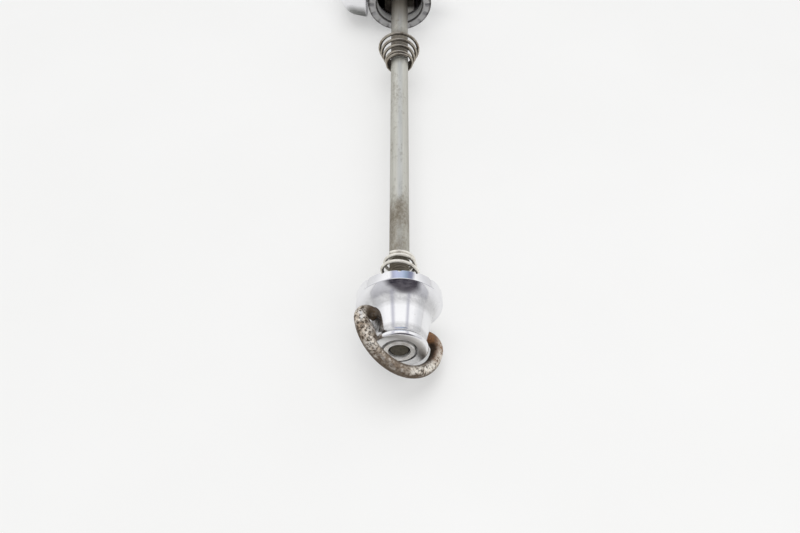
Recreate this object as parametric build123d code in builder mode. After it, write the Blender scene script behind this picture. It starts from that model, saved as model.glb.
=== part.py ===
from build123d import *
import math
import os

# Quick release skewer: a rod closed by a cam lever at one end and by a nut with a wire handle at the other.
#
# Y runs along the rod from the nut to the lever, X is to the right and Z is up. The origin is on the rod's
# axis, half way between the two clamp faces. Lengths are in millimetres and angles in degrees.

os.makedirs("parts", exist_ok=True)

# Clearances
running_clearance = 0.05       # radial, a shaft in its bore
side_play = 0.1                # endways, a turning face beside a fixed one
spring_clearance = 0.65        # radial, a spring's small end round the rod
yoke_clearance = 0.4           # radial, the yoke in the housing's cavity
eye_clearance = 0.35           # the eccentric in the yoke's eye
spring_seat_gap = 0.2          # the nut's spring over the floor of its recess
spring_turn_gap = 0.15         # between the turns of a spring's closed end
yoke_end_gap = 0.8             # the yoke at full throw before the floor of the cavity

# Rod and the distance between the clamp faces
rod_diameter = 5.0
rod_end_chamfer = 0.4
rod_end_recess = 0.3           # the rod's end below the nut's front face
clamp_gap = 116.3

# Nut shell, lengths counted from its front face
nut_length = 15.5
flange_diameter = 20.6
flange_band = 2.45
shoulder_length = 1.95
neck_back_diameter = 16.0
waist_diameter = 12.3
lip_diameter = 13.5
lip_length = 0.85
lip_slope = 0.9
recess_diameter = 13.8
recess_depth = 3.0

# Threaded bush of the nut
bush_diameter = 7.3
bush_proud = 0.2

# Wire handle of the nut
bail_wire = 3.0
bail_wire_sides = 8
bail_bend_steps = 5            # straight runs in each tight bend
bail_bow_steps = 20            # straight runs in the wide bow
bail_pivot = 7.4               # behind the nut's front face
bail_half_width = 10.9
bail_reach = 12.3
bail_bend = 2.4
bail_roll = 36.0               # turn about the rod's axis, right end down
bail_hole_wall = 0.6           # metal left between a wire hole and the bush
bail_end_gap = 0.2

# Serrations of both clamp faces
tooth_count = 16
tooth_depth = 0.5
tooth_width = 1.5
tooth_land = 0.9               # plain ring left inside the serrations

# Conical springs
spring_wire = 0.9
spring_wire_sides = 4
spring_steps = 12              # straight runs in each turn
spring_wide_diameter = 12.8
spring_closed_turns = 1        # at the small end
spring_tip_turn = 0.1          # from the wire's tip to the top of the rod, in turns
nut_spring_length = 15.0
nut_spring_open_turns = 3.25
nut_spring_growth = 1.4        # above 1 the turns open towards the wide end
lever_spring_length = 9.0
lever_spring_open_turns = 3.6
lever_spring_growth = 1.0
lever_spring_place = 20.4      # from the housing's clamp face to the spring's wide end

# Cam housing, lengths counted from its clamp face
housing_ring_diameter = 19.6
housing_ring_length = 2.7
housing_barrel_diameter = 18.6
housing_length = 21.8
housing_end_wall = 3.0
housing_end_edge = 0.7
housing_flat = 8.4             # from the rod's axis to the flats beside the cam shaft
cavity_diameter = 14.0

# Lever with its cam shaft, lengths along X counted from the rod's axis
eccentric_diameter = 6.8
eccentric_offset = 1.0
eccentric_half_length = 5.4
journal_diameter = 10.0
tail_journal_diameter = 4.6
stud_diameter = 4.0
stud_length = 4.6
collar_diameter = 11.5
hub_inner = 10.2
hub_thickness = 8.9
hub_edge = 2.8
arm_thickness = 5.4
arm_edge = 1.3
arm_length = 50.0              # from the cam shaft's axis to the middle of the rounded tip
arm_root_width = 13.0
arm_tip_width = 8.0
arm_tip_drop = 3.0
arm_back_radius = 70.0         # the arm's two long edges are arcs that run into the rounded tip
arm_belly_radius = 60.0

# Yoke on the rod's inner end
yoke_half_width = 4.6
yoke_front_length = 7.6        # from the eye's middle towards the nut
yoke_back_length = 6.0
yoke_seat = 3.2                # depth of the rod in the yoke

# Washer and cap nut on the stud
washer_diameter = 8.6
washer_thickness = 0.8
cap_nut_flats = 7.0
cap_nut_hex_height = 3.0
cap_nut_dome_diameter = 6.4
cap_nut_dome_height = 2.4
cap_nut_dome_edge = 0.4
cap_nut_end_gap = 0.3

# Places that follow from the sizes above
rod_radius = rod_diameter / 2
nut_back = -clamp_gap / 2
nut_front = nut_back - nut_length
recess_floor = nut_back - recess_depth
housing_face = clamp_gap / 2
cavity_depth = housing_length - housing_end_wall
cam_axis = cavity_depth - yoke_end_gap - eccentric_offset - yoke_back_length
cam_y = housing_face + cam_axis
floor_drop = flange_diameter / 2
hub_diameter = housing_ring_diameter
hub_outer = hub_inner + hub_thickness
tip_radius = arm_tip_width / 2
spring_small_radius = rod_radius + spring_clearance + spring_wire / 2
spring_wide_radius = (spring_wide_diameter - spring_wire) / 2

# The lever lies with its tip on the table: its turn below the rod's direction follows from that.
tip_direction = math.atan2(-arm_tip_drop, arm_length)
tip_distance = math.hypot(arm_length, arm_tip_drop)
lever_turn = tip_direction + math.asin((floor_drop - tip_radius) / tip_distance)
lever_plane = Plane(
    origin=(0, cam_y, 0), x_dir=(0, math.cos(lever_turn), -math.sin(lever_turn)), z_dir=(1, 0, 0)
)

# The rod moves in step with the lever, so the eye's middle lies a little beyond the cam shaft's axis.
throw_per_radian = 2 * eccentric_offset / math.pi
eye_y = cam_y + throw_per_radian * lever_turn
yoke_front = eye_y - yoke_front_length
yoke_back = eye_y + yoke_back_length


# One V groove of a clamp face, along local X from the plain ring outwards, with the face in the XY plane
def groove_cutter(inner_radius, outer_radius):
    with BuildPart() as groove:
        with BuildSketch(Plane.YZ.offset(inner_radius)):
            with BuildLine():
                Polyline(
                    (-tooth_width, tooth_depth), (0, -tooth_depth), (tooth_width, tooth_depth), close=True
                )
            make_face()
        extrude(amount=outer_radius - inner_radius)
    return groove.part


# Middle of the arc through a point, of a given radius, that keeps a given distance from a second point
def arc_centre(start, radius, far_point, far_distance):
    span = far_point - start
    along = (span.length**2 + radius**2 - far_distance**2) / (2 * span.length)
    down = span.normalized().rotate(Axis.Z, -90)
    return start + span.normalized() * along + down * math.sqrt(radius**2 - along**2)


# Conical spring wound from its small end along a direction, as short straight runs
def conical_spring(small_end, direction, length, open_turns, growth):
    closed_rise = spring_closed_turns * (spring_wire + spring_turn_gap)
    open_rise = length - spring_wire - closed_rise
    points = []
    for step in range(round((spring_closed_turns + open_turns) * spring_steps) + 1):
        turn = step / spring_steps
        closed = min(turn / spring_closed_turns, 1)
        opened = max(0, turn - spring_closed_turns) / open_turns
        radius = spring_small_radius + (spring_wide_radius - spring_small_radius) * opened
        along = spring_wire / 2 + closed_rise * closed + open_rise * opened**growth
        angle = math.pi / 2 + direction * 2 * math.pi * (turn - spring_tip_turn)
        points.append((radius * math.cos(angle), small_end + direction * along, radius * math.sin(angle)))
    with BuildPart() as spring:
        with BuildLine() as path:
            Polyline(*points)
        with BuildSketch(Plane(origin=path.line @ 0, x_dir=(0, 1, 0), z_dir=path.line % 0)):
            RegularPolygon(spring_wire / 2, spring_wire_sides)
        sweep(path=path.line, transition=Transition.RIGHT)
    return spring


# Skewer rod
with BuildPart() as skewer_rod:
    rod_start = nut_front + rod_end_recess
    with BuildSketch():
        with BuildLine():
            Polyline(
                (0, rod_start),
                (rod_radius - rod_end_chamfer, rod_start),
                (rod_radius, rod_start + rod_end_chamfer),
                (rod_radius, yoke_front + yoke_seat),
                (0, yoke_front + yoke_seat),
                close=True,
            )
        make_face()
    revolve(axis=Axis.Y)
skewer_rod.part.label = "skewer_rod"
export_step(skewer_rod.part, "parts/skewer_rod.step")

# Yoke: a round slug with two flats, seated on the rod, with an oval eye across it
with BuildPart() as cam_yoke:
    yoke_radius = cavity_diameter / 2 - yoke_clearance
    eye_half_height = eccentric_diameter / 2 + eye_clearance
    with BuildSketch():
        with BuildLine():
            Polyline(
                (rod_radius, yoke_front),
                (yoke_radius, yoke_front),
                (yoke_radius, yoke_back),
                (0, yoke_back),
                (0, yoke_front + yoke_seat),
                (rod_radius, yoke_front + yoke_seat),
                close=True,
            )
        make_face()
    revolve(axis=Axis.Y)
    with BuildSketch(Plane.XZ.offset(-yoke_front)):
        Rectangle(2 * yoke_half_width, 2 * yoke_radius)
    extrude(amount=-(yoke_front_length + yoke_back_length), mode=Mode.INTERSECT)
    with BuildSketch(Plane.YZ.offset(-yoke_half_width)):
        with Locations((eye_y, 0)):
            SlotCenterToCenter(2 * eccentric_offset, 2 * eye_half_height, rotation=90)
    extrude(amount=2 * yoke_half_width, mode=Mode.SUBTRACT)
cam_yoke.part.label = "cam_yoke"
export_step(cam_yoke.part, "parts/cam_yoke.step")

# Cam housing: a turned cup with a serrated clamp ring, two flats and a stepped cross bore
ring_radius = housing_ring_diameter / 2
cavity_radius = cavity_diameter / 2
housing_groove = groove_cutter(cavity_radius + tooth_land, ring_radius + tooth_width)
with BuildPart() as cam_housing:
    barrel_radius = housing_barrel_diameter / 2
    ring_back = housing_face + housing_ring_length
    housing_back = housing_face + housing_length
    with BuildSketch():
        with BuildLine():
            Polyline(
                (cavity_radius, housing_face),
                (ring_radius, housing_face),
                (ring_radius, ring_back),
                (barrel_radius, ring_back + ring_radius - barrel_radius),
                (barrel_radius, housing_back - housing_end_edge),
                (barrel_radius - housing_end_edge, housing_back),
                (0, housing_back),
                (0, housing_face + cavity_depth),
                (cavity_radius, housing_face + cavity_depth),
                close=True,
            )
        make_face()
    revolve(axis=Axis.Y)
    for side in (-1, 1):
        with BuildSketch(Plane.XY.offset(-barrel_radius)):
            with Locations((side * (housing_flat + barrel_radius), (ring_back + housing_back) / 2)):
                Rectangle(2 * barrel_radius, housing_back - ring_back)
        extrude(amount=2 * barrel_radius, mode=Mode.SUBTRACT)
    with BuildSketch(Plane.YZ):
        with Locations((cam_y, 0)):
            Circle(journal_diameter / 2 + running_clearance)
    extrude(amount=-ring_radius, mode=Mode.SUBTRACT)
    with BuildSketch(Plane.YZ):
        with Locations((cam_y, 0)):
            Circle(tail_journal_diameter / 2 + running_clearance)
    extrude(amount=ring_radius, mode=Mode.SUBTRACT)
    with Locations(Plane(origin=(0, housing_face, 0), z_dir=(0, -1, 0)).location):
        with PolarLocations(0, tooth_count):
            add(housing_groove, mode=Mode.SUBTRACT)
cam_housing.part.label = "cam_housing"
export_step(cam_housing.part, "parts/cam_housing.step")

# Lever: hub, curved arm and cam shaft in one piece
with BuildPart() as lever:
    collar_face = housing_flat + side_play
    shaft_end = housing_flat + side_play
    arm_outer = hub_outer - (hub_thickness - arm_thickness) / 2
    arm_tip = Vector(arm_length, -arm_tip_drop)
    root_top = Vector(0, arm_root_width / 2)
    root_foot = Vector(0, -arm_root_width / 2)
    back_centre = arc_centre(root_top, arm_back_radius, arm_tip, arm_back_radius - tip_radius)
    belly_centre = arc_centre(root_foot, arm_belly_radius, arm_tip, arm_belly_radius + tip_radius)
    tip_top = arm_tip + (arm_tip - back_centre).normalized() * tip_radius
    tip_foot = arm_tip + (belly_centre - arm_tip).normalized() * tip_radius
    tip_end = arm_tip + (tip_top - tip_foot).normalized().rotate(Axis.Z, -90) * tip_radius
    with BuildSketch(lever_plane.offset(-arm_outer)):
        with BuildLine():
            RadiusArc(root_top, tip_top, arm_back_radius)
            ThreePointArc(tip_top, tip_end, tip_foot)
            RadiusArc(root_foot, tip_foot, arm_belly_radius)
            Line(root_foot, root_top)
        make_face()
    extrude(amount=arm_thickness)
    arm_faces = lever.faces().filter_by(Axis.X)
    rim_edges = arm_faces.edges().filter_by(GeomType.CIRCLE)
    chamfer(rim_edges, length=arm_edge)
    with BuildSketch(Plane(origin=(0, cam_y, 0))):
        with BuildLine():
            Polyline(
                (-hub_outer, 0),
                (-hub_outer, hub_diameter / 2 - hub_edge),
                (-hub_outer + hub_edge, hub_diameter / 2),
                (-hub_inner, hub_diameter / 2),
                (-hub_inner, collar_diameter / 2),
                (-collar_face, collar_diameter / 2),
                (-collar_face, journal_diameter / 2),
                (-eccentric_half_length, journal_diameter / 2),
                (-eccentric_half_length, 0),
                close=True,
            )
        make_face()
    revolve(axis=Axis((0, cam_y, 0), (1, 0, 0)))
    shaft_steps = (
        (eccentric_diameter, -eccentric_half_length, eccentric_half_length, eccentric_offset),
        (tail_journal_diameter, eccentric_half_length, shaft_end, 0),
        (stud_diameter, shaft_end, shaft_end + stud_length, 0),
    )
    for diameter, start, end, offset_up in shaft_steps:
        with BuildSketch(lever_plane.offset(start)):
            with Locations((0, offset_up)):
                Circle(diameter / 2)
        extrude(amount=end - start)
lever.part.label = "lever"
export_step(lever.part, "parts/lever.step")

# Washer on the stud, against the shoulder of the cam shaft
with BuildPart() as lever_washer:
    with BuildSketch(Plane(origin=(shaft_end, cam_y, 0), z_dir=(1, 0, 0))):
        Circle(washer_diameter / 2)
        Circle(stud_diameter / 2 + running_clearance, mode=Mode.SUBTRACT)
    extrude(amount=washer_thickness)
lever_washer.part.label = "lever_washer"
export_step(lever_washer.part, "parts/lever_washer.step")

# Cap nut: hexagon with a dome, on the stud
with BuildPart() as cap_nut:
    cap_nut_start = shaft_end + washer_thickness
    cap_nut_plane = Plane(origin=(cap_nut_start, cam_y, 0), x_dir=(0, 1, 0), z_dir=(1, 0, 0))
    hole_depth = stud_length - washer_thickness + cap_nut_end_gap
    with BuildSketch(cap_nut_plane):
        RegularPolygon(cap_nut_flats / 2, 6, major_radius=False)
    extrude(amount=cap_nut_hex_height)
    dome_start = cap_nut_start + cap_nut_hex_height
    with BuildSketch(Plane(origin=(dome_start, cam_y, 0))):
        with BuildLine():
            Polyline(
                (0, 0),
                (0, cap_nut_dome_diameter / 2),
                (cap_nut_dome_height - cap_nut_dome_edge, cap_nut_dome_diameter / 2),
                (cap_nut_dome_height, cap_nut_dome_diameter / 2 - cap_nut_dome_edge),
                (cap_nut_dome_height, 0),
                close=True,
            )
        make_face()
    revolve(axis=Axis((0, cam_y, 0), (1, 0, 0)))
    with BuildSketch(cap_nut_plane):
        Circle(stud_diameter / 2)
    extrude(amount=hole_depth, mode=Mode.SUBTRACT)
cap_nut.part.label = "cap_nut"
export_step(cap_nut.part, "parts/cap_nut.step")

# Nut shell: a flanged cone with a lip, a spring recess, a seat for the bush and two wire holes
bail_across = Vector(math.cos(math.radians(bail_roll)), 0, -math.sin(math.radians(bail_roll)))
bail_centre = Vector(0, nut_front + bail_pivot, 0)
bush_radius = bush_diameter / 2
bail_hole_bottom = bush_radius + bail_hole_wall
flange_radius = flange_diameter / 2
recess_radius = recess_diameter / 2
nut_groove = groove_cutter(recess_radius + tooth_land, flange_radius + tooth_width)
with BuildPart() as nut_shell:
    lip_radius = lip_diameter / 2
    band_front = nut_back - flange_band
    lip_back = nut_front + lip_length
    waist_point = (waist_diameter / 2, lip_back + lip_slope)
    shoulder_foot = (neck_back_diameter / 2, band_front - shoulder_length)
    with BuildSketch():
        with BuildLine():
            Polyline(
                (bush_radius, recess_floor),
                (bush_radius, nut_front),
                (lip_radius, nut_front),
                (lip_radius, lip_back),
                waist_point,
                shoulder_foot,
                (flange_radius, band_front),
                (flange_radius, nut_back),
                (recess_radius, nut_back),
                (recess_radius, recess_floor),
                close=True,
            )
        make_face()
    revolve(axis=Axis.Y)
    for side in (-1, 1):
        hole_start = bail_centre + bail_across * (side * bail_hole_bottom)
        with BuildSketch(Plane(origin=hole_start, z_dir=bail_across * side)):
            Circle(bail_wire / 2)
        extrude(amount=flange_radius, mode=Mode.SUBTRACT)
    with Locations(Plane(origin=(0, nut_back, 0), z_dir=(0, 1, 0)).location):
        with PolarLocations(0, tooth_count):
            add(nut_groove, mode=Mode.SUBTRACT)
nut_shell.part.label = "nut_shell"
export_step(nut_shell.part, "parts/nut_shell.step")

# Threaded bush, pressed into the shell
with BuildPart() as nut_bush:
    thread_radius = rod_radius + running_clearance
    bush_front = nut_front - bush_proud
    with BuildSketch():
        with BuildLine():
            Polyline(
                (thread_radius, bush_front),
                (bush_radius, bush_front),
                (bush_radius, recess_floor),
                (thread_radius, recess_floor),
                close=True,
            )
        make_face()
    revolve(axis=Axis.Y)
nut_bush.part.label = "nut_bush"
export_step(nut_bush.part, "parts/nut_bush.step")

# Wire handle: two ends in the shell's holes, two tight bends and one wide bow ahead of the nut
bail_plane = Plane(origin=bail_centre, x_dir=bail_across, z_dir=bail_across.cross(Vector(0, -1, 0)))


# Points on an arc of the handle between two angles, its middle given across and ahead of the holes
def bail_arc(across, ahead, radius, start, end, steps):
    angles = [start + (end - start) * step / steps for step in range(steps + 1)]
    return [
        bail_plane.from_local_coords((across + radius * math.cos(a), ahead + radius * math.sin(a), 0))
        for a in angles
    ]


with BuildPart() as nut_bail:
    bend_x = bail_half_width - bail_bend
    bow_depth = bail_reach - bail_bend
    bow_middle = (bow_depth**2 - bend_x**2 - bail_bend**2) / (2 * (bow_depth - bail_bend))
    bow_radius = bail_reach - bow_middle
    bow_start = math.atan2(bail_bend - bow_middle, bend_x)
    bow_end = math.pi - bow_start
    quarter = math.pi / 2
    wire_start = bail_plane.from_local_coords((bail_hole_bottom + bail_end_gap, 0, 0))
    wire_end = bail_plane.from_local_coords((-bail_hole_bottom - bail_end_gap, 0, 0))
    first_bend = bail_arc(bend_x, bail_bend, bail_bend, -quarter, bow_start, bail_bend_steps)
    bow = bail_arc(0, bow_middle, bow_radius, bow_start, bow_end, bail_bow_steps)
    last_bend = bail_arc(-bend_x, bail_bend, bail_bend, bow_end, 3 * quarter, bail_bend_steps)
    with BuildLine() as bail_path:
        Polyline(wire_start, *first_bend, *bow[1:-1], *last_bend, wire_end)
    with BuildSketch(Plane(origin=wire_start, x_dir=bail_plane.z_dir, z_dir=bail_across)):
        RegularPolygon(bail_wire / 2, bail_wire_sides)
    sweep(path=bail_path.line, transition=Transition.RIGHT)
nut_bail.part.label = "nut_bail"
export_step(nut_bail.part, "parts/nut_bail.step")

# Springs: the nut's stands in its recess, the lever's lies loose on the rod
nut_spring_start = recess_floor + spring_seat_gap + nut_spring_length
nut_spring = conical_spring(
    nut_spring_start, -1, nut_spring_length, nut_spring_open_turns, nut_spring_growth
)
nut_spring.part.label = "nut_spring"
export_step(nut_spring.part, "parts/nut_spring.step")

lever_spring_start = housing_face - lever_spring_place - lever_spring_length
lever_spring = conical_spring(
    lever_spring_start, 1, lever_spring_length, lever_spring_open_turns, lever_spring_growth
)
lever_spring.part.label = "lever_spring"
export_step(lever_spring.part, "parts/lever_spring.step")
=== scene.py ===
import math

import bpy
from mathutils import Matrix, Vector


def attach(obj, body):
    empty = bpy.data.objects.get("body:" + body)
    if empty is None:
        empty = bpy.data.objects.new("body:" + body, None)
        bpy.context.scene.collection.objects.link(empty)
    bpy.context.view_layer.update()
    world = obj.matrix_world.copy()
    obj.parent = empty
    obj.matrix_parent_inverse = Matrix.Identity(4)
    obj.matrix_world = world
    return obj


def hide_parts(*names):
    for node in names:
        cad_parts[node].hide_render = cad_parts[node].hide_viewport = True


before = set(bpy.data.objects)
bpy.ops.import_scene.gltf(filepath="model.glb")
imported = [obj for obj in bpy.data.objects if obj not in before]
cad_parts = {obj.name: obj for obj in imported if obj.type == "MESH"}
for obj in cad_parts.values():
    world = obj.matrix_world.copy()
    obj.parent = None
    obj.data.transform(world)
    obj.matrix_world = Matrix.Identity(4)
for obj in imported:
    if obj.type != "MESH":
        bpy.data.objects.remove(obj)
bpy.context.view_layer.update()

MM = 0.001

# Sizes and places of the skewer in millimetres, as in the part's source
rod_radius = 2.5
rod_end = -73.35
rod_head = 64.79
thread_pitch = 0.8

nut_front = -73.65
nut_back = -58.15
flange_radius = 10.3
recess_floor = -61.15
recess_radius = 6.9
bush_radius = 3.65
tooth_count = 16

bail_wire_radius = 1.5
bail_hole_radius = 1.6
bail_pivot = Vector((0, -66.25, 0))
bail_roll = math.radians(36.0)
bail_across = Vector((math.cos(bail_roll), 0, -math.sin(bail_roll)))
bail_ahead = Vector((0, -1, 0))
bail_bow_ahead = 1.333
bail_bow_middle = bail_pivot + bail_ahead * bail_bow_ahead

spring_wire_thickness = 0.9
nut_spring_small_end = -45.95
lever_spring_small_end = 28.75

housing_face = 58.15
housing_back = 79.95
ring_radius = 9.8
ring_back = 60.85
barrel_radius = 9.3
cavity_radius = 7.0
cavity_floor = 76.95

cam_y = 69.15
lever_lean = 0.06618
journal_radius = 5.0
eccentric_radius = 3.4
tail_radius = 2.3
stud_radius = 2.0
washer_inner, washer_outer = 8.5, 9.3

table_level = -10.3


# Modelling steps

def take_all():
    """Enters edit mode with everything selected."""
    bpy.ops.object.mode_set(mode="EDIT")
    bpy.ops.mesh.select_all(action="SELECT")


def settle(name):
    """Names the primitive just added and applies its place to its mesh."""
    piece = bpy.context.object
    piece.name = name
    bpy.ops.object.transform_apply(location=True, rotation=True, scale=True)
    return piece


def draw_out(step):
    """Extrudes what is selected by a step in millimetres."""
    bpy.ops.mesh.extrude_region_move(TRANSFORM_OT_translate={"value": step * MM})


def start_vertex(name, place):
    """Begins a piece as one vertex, to be drawn out into a profile."""
    bpy.ops.object.select_all(action="DESELECT")
    bpy.ops.mesh.primitive_plane_add(size=MM)
    piece = bpy.context.object
    piece.name = name
    take_all()
    bpy.ops.mesh.merge(type="CENTER")
    bpy.ops.transform.translate(value=Vector(place) * MM)
    return piece


def pick(piece, wanted):
    """Selects the vertices whose place, in millimetres, is wanted."""
    bpy.ops.object.mode_set(mode="EDIT")
    bpy.ops.mesh.select_mode(type="VERT")
    bpy.ops.mesh.select_all(action="DESELECT")
    bpy.ops.object.mode_set(mode="OBJECT")
    for vertex in piece.data.vertices:
        vertex.select = wanted(vertex.co / MM)
    bpy.ops.object.mode_set(mode="EDIT")


def near(place, reach=0.004):
    """Wants the vertices at one place."""
    spot = Vector(place)
    return lambda where: (where - spot).length < reach


def between(here, there, reach=0.002):
    """Wants the vertices on the straight run from one place to another."""
    run = (there - here).normalized()
    return lambda where: ((where - here) - run * (where - here).dot(run)).length < reach


def draw_profile(name, places, closed=False, roundings=(), cuts=()):
    """Draws a line through places, rounds the corners that ask for it and cuts up the runs after them."""
    piece = start_vertex(name, places[0])
    route = [Vector(place) for place in places]
    if closed:
        route.append(route[0])
    for here, there in zip(route, route[1:]):
        bpy.ops.mesh.extrude_vertices_move(TRANSFORM_OT_translate={"value": (there - here) * MM})
    bpy.ops.mesh.select_all(action="SELECT")
    bpy.ops.mesh.remove_doubles(threshold=0.002 * MM)
    for place, rounding in zip(places, roundings):
        if rounding:
            pick(piece, near(place))
            bpy.ops.mesh.bevel(offset=rounding * MM, segments=8, affect="VERTICES")
    for here, there, number in zip(route, route[1:], cuts):
        if number:
            pick(piece, between(here, there))
            bpy.ops.mesh.subdivide(number_cuts=number)
    return piece


def close_up(piece):
    """Merges doubled vertices, points the faces outwards and leaves edit mode."""
    take_all()
    bpy.ops.mesh.remove_doubles(threshold=0.001 * MM)
    bpy.ops.mesh.normals_make_consistent(inside=False)
    bpy.ops.object.mode_set(mode="OBJECT")


def turn(name, profile, steps, closed=False, axis="Y", middle=(0, 0, 0)):
    """Turns a profile round an axis, as on a lathe.

    Each corner is a radius and a distance along the axis, and may add a rounding and a number of cuts.
    """
    places, roundings, cuts = [], [], []
    for corner in profile:
        radius, along, rounding, number = (*corner, 0, 0)[:4]
        places.append((radius, along, 0) if axis == "Y" else (along, middle[1] + radius, 0))
        roundings.append(rounding)
        cuts.append(number)
    piece = draw_profile(name, places, closed, roundings, cuts)
    bpy.ops.mesh.select_all(action="SELECT")
    bpy.ops.mesh.spin(
        steps=steps, angle=2 * math.pi, center=Vector(middle) * MM,
        axis=(0, 1, 0) if axis == "Y" else (1, 0, 0),
    )
    close_up(piece)
    return piece


def turn_on_cam_shaft(name, profile, steps, closed=False):
    """Turns a profile round the cam shaft's axis."""
    return turn(name, profile, steps, closed, "X", (0, cam_y, 0))


def only(piece):
    """Makes one piece the selected and active one."""
    bpy.ops.object.select_all(action="DESELECT")
    piece.select_set(True)
    bpy.context.view_layer.objects.active = piece


def join(first, *others):
    """Joins pieces into the first one."""
    only(first)
    for other in others:
        other.select_set(True)
    bpy.ops.object.join()
    return first


def combine(piece, tool, way="DIFFERENCE"):
    """Cuts a tool out of a piece, or keeps what both share, and removes the tool."""
    only(piece)
    cut = piece.modifiers.new("cut", "BOOLEAN")
    cut.operation = way
    cut.solver = "EXACT"
    cut.object = tool
    bpy.ops.object.modifier_apply(modifier=cut.name)
    bpy.data.objects.remove(tool, do_unlink=True)


def copies_round_rod(tool, count):
    """Copies a tool round the rod's axis, each copy with its own mesh, and joins them."""
    ring = [tool]
    for number in range(1, count):
        only(tool)
        bpy.ops.object.duplicate(linked=False)
        other = bpy.context.object
        take_all()
        bpy.ops.transform.rotate(
            value=2 * math.pi * number / count, orient_axis="Y", center_override=(0, 0, 0)
        )
        bpy.ops.object.mode_set(mode="OBJECT")
        ring.append(other)
    return join(*ring)


def groove_tools(face, outward, inner, outer):
    """V grooves across a clamp face from its plain ring outwards."""
    depth, half_width = 0.5, 1.5
    tool = draw_profile("groove_tool", [
        (inner, face + outward * depth, -half_width),
        (inner, face - outward * depth, 0),
        (inner, face + outward * depth, half_width),
    ], closed=True)
    bpy.ops.mesh.select_all(action="SELECT")
    bpy.ops.mesh.edge_face_add()
    draw_out(Vector((outer - inner, 0, 0)))
    close_up(tool)
    return copies_round_rod(tool, tooth_count)


def round_bar(name, radius, start, end, sides=48):
    """A plain round bar between two places, as a drill or a cutter."""
    start, end = Vector(start) * MM, Vector(end) * MM
    run = end - start
    bpy.ops.object.select_all(action="DESELECT")
    bpy.ops.mesh.primitive_cylinder_add(
        vertices=sides, radius=radius * MM, depth=run.length, location=(start + end) / 2,
        rotation=run.to_track_quat("Z", "Y").to_euler(),
    )
    return settle(name)


def block(name, low, high):
    """A plain block between two corners, as a cutter."""
    low, high = Vector(low) * MM, Vector(high) * MM
    bpy.ops.object.select_all(action="DESELECT")
    bpy.ops.mesh.primitive_cube_add(size=1, location=(low + high) / 2, scale=high - low)
    return settle(name)


def mill_flats(piece, half_width, reach, start, end):
    """Cuts a flat on each side of the rod's axis, between two places along it."""
    for side in (-1, 1):
        low, high = sorted((side * half_width, side * reach))
        combine(piece, block("flat_cutter", (low, start, -reach), (high, end, reach)))


def wire_ring(name, radius, place, direction, sides=32):
    """Begins a round wire as a filled circle facing along the wire."""
    bpy.ops.object.select_all(action="DESELECT")
    bpy.ops.mesh.primitive_circle_add(
        vertices=sides, radius=radius * MM, fill_type="NGON", location=Vector(place) * MM,
        rotation=Vector(direction).to_track_quat("Z", "Y").to_euler(),
    )
    wire = settle(name)
    take_all()
    return wire


def smooth(piece, angle=35):
    """Shades a piece smooth except across its sharp edges."""
    only(piece)
    bpy.ops.object.shade_smooth_by_angle(angle=math.radians(angle))
    return piece


# Nut

def model_nut_shell():
    """The chromed cone with its lip, its recess for the spring and its serrated clamp face."""
    groove_radius = 4.2
    shell = turn("nut_shell_chrome", [
        (bush_radius, recess_floor),
        (bush_radius, nut_front + 0.55),
        (groove_radius, nut_front + 0.45),
        (groove_radius, nut_front, 0.08),
        (6.5, nut_front, 0.4),
        (6.75, nut_front + 0.9, 0.16),
        (6.15, nut_front + 1.75, 0.55, 28),
        (8.136, -61.66, 2.2),
        (flange_radius, -60.62, 0.2),
        (flange_radius, nut_back, 0.12),
        (recess_radius, nut_back, 0.1),
        (recess_radius, recess_floor),
    ], steps=192, closed=True)
    hole_bottom, hole_mouth = 4.25, 14.5
    for side in (-1, 1):
        out = bail_across * side
        combine(shell, round_bar(
            "wire_drill", bail_hole_radius, bail_pivot + out * hole_bottom, bail_pivot + out * hole_mouth
        ))
    combine(shell, groove_tools(nut_back, 1, 7.8, 11.8))
    return smooth(shell)


def model_nut_bush():
    """The threaded bush, its end ring a little proud of the nut's face."""
    bore_radius, proud = 2.55, 0.2
    return smooth(turn("nut_bush_ring", [
        (bore_radius, recess_floor),
        (bore_radius, nut_front - 0.05, 0.12),
        (2.7, nut_front - proud),
        (bush_radius, nut_front - proud, 0.14),
        (bush_radius, recess_floor, 0.1),
    ], steps=96, closed=True))


def model_nut_bail():
    """The bent wire handle, drawn out from its right end round the bow to its left end."""
    upright = bail_across.cross(bail_ahead)
    bend_out, bend_radius, end_out = 8.5, 2.4, 4.45
    bow_start = math.atan2(bend_radius - bail_bow_ahead, bend_out)
    bend_angle = math.pi / 2 + bow_start
    wire = wire_ring("nut_bail_wire", bail_wire_radius, bail_pivot + bail_across * end_out, bail_across)
    draw_out(bail_across * (bend_out - end_out))
    bends = (
        (bail_pivot + bail_across * bend_out + bail_ahead * bend_radius, bend_angle, 14),
        (bail_bow_middle, math.pi - 2 * bow_start, 64),
        (bail_pivot - bail_across * bend_out + bail_ahead * bend_radius, bend_angle, 14),
    )
    for middle, angle, steps in bends:
        bpy.ops.mesh.spin(steps=steps, angle=-angle, center=middle * MM, axis=upright)
    draw_out(bail_across * (bend_out - end_out))
    close_up(wire)

    # The left arm is beaten wider on its inner side
    def inner_side(where):
        off = where - bail_bow_middle
        return off.length < 10.1 and -9.2 < off.dot(bail_across) < -7.0 and 1.6 < off.dot(bail_ahead) < 5.2

    pick(wire, inner_side)
    bpy.ops.transform.translate(
        value=(bail_across * 1.6 + bail_ahead * 0.3) * MM, use_proportional_edit=True,
        proportional_edit_falloff="SMOOTH", proportional_size=2.2 * MM,
    )
    close_up(wire)
    return smooth(wire, 50)


# Rod and springs

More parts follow.
